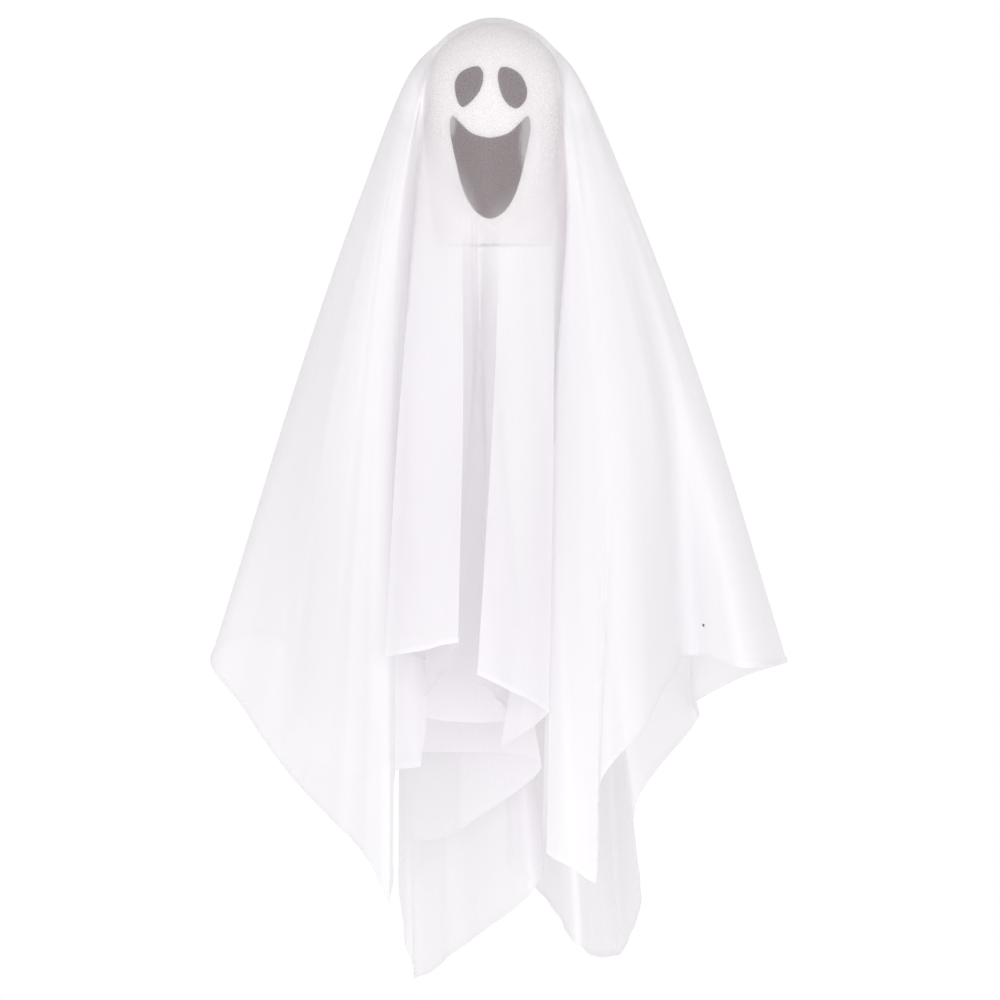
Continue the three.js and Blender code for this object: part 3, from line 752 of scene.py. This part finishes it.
def sheer_voile():
    """Sheer polyester voile: fine round threads with gaps between them, so part of what is behind it
    shows through. The weave is pulled open where it is stretched over the head and closes up where it
    hangs. The real threads are about 0.3 mm apart and are drawn 1.2 mm apart to show."""
    material, tree = new_material("sheer_polyester_voile")
    flat = add_node(tree, "ShaderNodeUVMap", {"uv_map": "flat_cloth"}).outputs[0]
    axes = add_node(tree, "ShaderNodeSeparateXYZ", None, Vector=flat)
    threads = []
    for axis in (0, 1):
        phase = maths(tree, "MULTIPLY", axes.outputs[axis], 2 * math.pi / THREAD_SPACING)
        threads.append(maths(tree, "COSINE", phase))
    weave = maths(tree, "ADD", *threads)
    slub = add_node(tree, "ShaderNodeTexNoise", None, Vector=flat, Scale=SLUB_SCALE, Detail=3.0)
    uneven = add_node(tree, "ShaderNodeMapRange", None, Value=slub.outputs[0], From_Min=SLUB_RANGE[0],
                      From_Max=SLUB_RANGE[1], To_Min=-SLUB_COVER, To_Max=SLUB_COVER)
    vectors = "ShaderNodeVectorMath"
    reach = length_of(tree, maths(tree, "MULTIPLY", flat, (STRETCHED_NARROW, 1, 1), kind=vectors))
    spread = add_node(tree, "ShaderNodeMapRange", {"interpolation_type": "SMOOTHSTEP"}, Value=reach,
                      From_Min=STRETCHED_REACH, From_Max=HANGING_REACH,
                      To_Min=STRETCHED_COVER, To_Max=HANGING_COVER)
    cover = maths(tree, "ADD", spread.outputs[0], uneven.outputs[0])
    cover = maths(tree, "MULTIPLY_ADD", weave, WEAVE_COVER, cover)
    place = add_node(tree, "ShaderNodeTexCoord").outputs["Object"]
    stretched = maths(tree, "MULTIPLY", place, STREAK_SCALES, kind=vectors)
    streaks = add_node(tree, "ShaderNodeTexNoise", None, Vector=stretched, Scale=1.0, Detail=2.0)
    for middle, size, ragged, more in STAND_OFFS:
        away = maths(tree, "SUBTRACT", place, middle, kind=vectors)
        away = length_of(tree, maths(tree, "DIVIDE", away, size, kind=vectors))
        away = maths(tree, "MULTIPLY_ADD", streaks.outputs[0], ragged, away)
        denser = add_node(tree, "ShaderNodeMapRange", {"interpolation_type": "SMOOTHSTEP"}, Value=away,
                          From_Min=ragged / 2 + STAND_OFF_EDGE[0],
                          From_Max=ragged / 2 + STAND_OFF_EDGE[1], To_Max=more)
        cover = maths(tree, "ADD", cover, denser.outputs[0])
    yarn = add_node(tree, "ShaderNodeBsdfPrincipled", None, Base_Color=linear(VOILE_WHITE), Roughness=0.7)
    yarn.inputs["Sheen Weight"].default_value = 0.2
    through = add_node(tree, "ShaderNodeBsdfTranslucent", None, Color=linear(VOILE_THROUGH))
    cloth = add_node(tree, "ShaderNodeMixShader", None, i0=VOILE_THROUGH_SHARE, i1=yarn.outputs[0],
                     i2=through.outputs[0])
    clear = add_node(tree, "ShaderNodeBsdfTransparent")
    shader = add_node(tree, "ShaderNodeMixShader", None, i0=cover, i1=clear.outputs[0],
                      i2=cloth.outputs[0])
    add_node(tree, "ShaderNodeOutputMaterial", None, Surface=shader.outputs[0])
    return material


ribs = rib_rows()
places = column_places(ribs)
cloth = rippled(sheet_grid(ribs, places))
grid = np.concatenate([cloth, hem_turning(cloth)], axis=1)
flat = flat_places(cloth, places)
flat = np.concatenate([flat, flat[:, -1:], flat[:, -1:], flat[:, -2:-1]], axis=1)
column_count, row_count = grid.shape[:2]
edge_row = cloth.shape[1] - 1
quads = []
for i in range(column_count):
    after = (i + 1) % column_count
    for j in range(row_count - 1):
        if j != edge_row:
            quads.append((i * row_count + j, i * row_count + j + 1, after * row_count + j + 1,
                          after * row_count + j))
voile_sheet = mesh_object("voile_sheet", grid.reshape(-1, 3), quads, sheer_voile())
voile_sheet.data.set_sharp_from_angle(angle=math.radians(SHARP_BEND))
layer = voile_sheet.data.uv_layers.new(name="flat_cloth")
corner_points = np.zeros(len(voile_sheet.data.loops), np.int32)
voile_sheet.data.loops.foreach_get("vertex_index", corner_points)
layer.data.foreach_set("uv", flat.reshape(-1, 2)[corner_points].astype(np.float32).ravel())
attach(voile_sheet, "root")
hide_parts("sheet")


# The thread knot. Dark sewing thread, drawn into a small tight knot in the wall of the fold at the
# viewer's right: the one dark dot on the cloth.
KNOT_REACH = 0.7 * MM
KNOT_THREAD = 0.34 * MM
KNOT_FLATNESS = 0.6
KNOT_STEPS = 96
KNOT_SIDES = 10
THREAD_DARK = "#262424"
THREAD_PALE = "#3d3a3a"
TWIST_SCALE = 900.0


def sewing_thread():
    """Spun polyester thread: half matt, with the slanting stripes of its two twisted yarns."""
    material, tree = new_material("spun_polyester_thread")
    place = add_node(tree, "ShaderNodeTexCoord").outputs["Object"]
    twist = add_node(tree, "ShaderNodeTexWave", {"bands_direction": "DIAGONAL"}, Vector=place,
                     Scale=TWIST_SCALE)
    colour = add_node(tree, "ShaderNodeMix", {"data_type": "RGBA"}, i0=twist.outputs["Fac"],
                      i6=linear(THREAD_DARK), i7=linear(THREAD_PALE))
    shader = add_node(tree, "ShaderNodeBsdfPrincipled", None, Base_Color=colour.outputs[2],
                      Roughness=0.7)
    add_node(tree, "ShaderNodeOutputMaterial", None, Surface=shader.outputs[0])
    return material


def knot_mesh(middle, outward, material):
    """A pulled overhand knot: a thread whose middle line is a trefoil, flat on the cloth. The plain
    trefoil reaches out to 3."""
    lay = outward.to_track_quat("Z", "Y")
    path = []
    for step in range(KNOT_STEPS):
        t = 2 * math.pi * step / KNOT_STEPS
        trefoil = mathutils.Vector((math.sin(t) + 2 * math.sin(2 * t), math.cos(t) - 2 * math.cos(2 * t),
                                    -KNOT_FLATNESS * math.sin(3 * t)))
        path.append(trefoil * (KNOT_REACH / 3))
    vertices = []
    for step, point in enumerate(path):
        ahead = (path[(step + 1) % KNOT_STEPS] - path[step - 1]).normalized()
        side = ahead.cross(mathutils.Vector((0, 0, 1))).normalized()
        up = side.cross(ahead)
        for k in range(KNOT_SIDES):
            turn = 2 * math.pi * k / KNOT_SIDES
            ring = point + (side * math.cos(turn) + up * math.sin(turn)) * KNOT_THREAD
            vertices.append(middle + lay @ ring)
    faces = []
    for step in range(KNOT_STEPS):
        here, ahead = step * KNOT_SIDES, (step + 1) % KNOT_STEPS * KNOT_SIDES
        for k in range(KNOT_SIDES):
            after = (k + 1) % KNOT_SIDES
            faces.append((here + k, here + after, ahead + after, ahead + k))
    return mesh_object("thread_knot_tied", vertices, faces, material)


knot_low, knot_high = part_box("thread_knot")
knot_middle = np.array((knot_low + knot_high) / 2)
nearest = np.argmin(np.linalg.norm(cloth - knot_middle, axis=2))
column, row = np.unravel_index(nearest, cloth.shape[:2])
outward = grid_normals(cloth)[column, row]
seat = knot_middle - outward * ((knot_middle - cloth[column, row]) @ outward - KNOT_THREAD)
tied_knot = knot_mesh(mathutils.Vector(seat), mathutils.Vector(outward), sewing_thread())
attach(tied_knot, "root")
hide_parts("thread_knot")


# The studio: a plain pale floor under the ghost, one wide soft light in front, as high as the middle of
# the ghost, and a weak one that lies on the floor and shines up. The room is a light grey, lighter
# below, and only its plain background is seen as pure white.
FLOOR_LEVEL = -620 * MM
FLOOR_REACH = 1.9
FLOOR_WHITE = "#f2f2f2"
ROOM_ABOVE = 0.62
ROOM_BELOW = 1.12
FRONT_POWER = 120.0
FRONT_SIZE = (4.5, 2.6)
FRONT_PLACE = (0, -4.0, -0.3)
FRONT_AIM = (0, 0, -0.25)
LOW_POWER = 2.2
LOW_SIZE = 1.6
LOW_CLEAR = 5 * MM

scene.view_settings.view_transform = "Standard"
room = bpy.data.worlds.new("room")
scene.world = room
room.use_nodes = True
room_tree = room.node_tree
room_tree.nodes.clear()
path = add_node(room_tree, "ShaderNodeLightPath")
past_cloth = maths(room_tree, "MINIMUM", path.outputs["Transparent Depth"], 1.0)
direct = maths(room_tree, "SUBTRACT", path.outputs["Is Camera Ray"], past_cloth)
way = add_node(room_tree, "ShaderNodeTexCoord").outputs["Generated"]
height = add_node(room_tree, "ShaderNodeSeparateXYZ", None, Vector=way).outputs["Z"]
room_light = add_node(room_tree, "ShaderNodeMapRange", None, Value=height, From_Min=-1.0, From_Max=1.0,
                      To_Min=ROOM_BELOW, To_Max=ROOM_ABOVE)
strength = add_node(room_tree, "ShaderNodeMix", None, i0=direct, i2=room_light.outputs[0], i3=1.0)
sky = add_node(room_tree, "ShaderNodeBackground", None, Strength=strength.outputs[0])
sky.inputs["Color"].default_value = (1, 1, 1, 1)
add_node(room_tree, "ShaderNodeOutputWorld", None, Surface=sky.outputs[0])

floor_material, floor_tree = new_material("floor_paper")
paper = add_node(floor_tree, "ShaderNodeBsdfPrincipled", None, Base_Color=linear(FLOOR_WHITE),
                 Roughness=0.9)
add_node(floor_tree, "ShaderNodeOutputMaterial", None, Surface=paper.outputs[0])
floor_corners = [(x * FLOOR_REACH, y * FLOOR_REACH, FLOOR_LEVEL)
                 for x, y in ((-1, -1), (1, -1), (1, 1), (-1, 1))]
floor = mesh_object("floor", floor_corners, [(0, 1, 2, 3)], floor_material, False)

front = bpy.data.objects.new("front_light", bpy.data.lights.new("front_light", "AREA"))
front.data.shape = "RECTANGLE"
front.data.size, front.data.size_y = FRONT_SIZE
front.data.energy = FRONT_POWER
front.location = FRONT_PLACE
aim = mathutils.Vector(FRONT_AIM) - front.location
front.rotation_euler = aim.to_track_quat("-Z", "Y").to_euler()
scene.collection.objects.link(front)

low = bpy.data.objects.new("low_light", bpy.data.lights.new("low_light", "AREA"))
low.data.size = LOW_SIZE
low.data.energy = LOW_POWER
low.location = (0, 0, FLOOR_LEVEL + LOW_CLEAR)
low.rotation_euler = (math.radians(180), 0, 0)
low.visible_camera = False
scene.collection.objects.link(low)
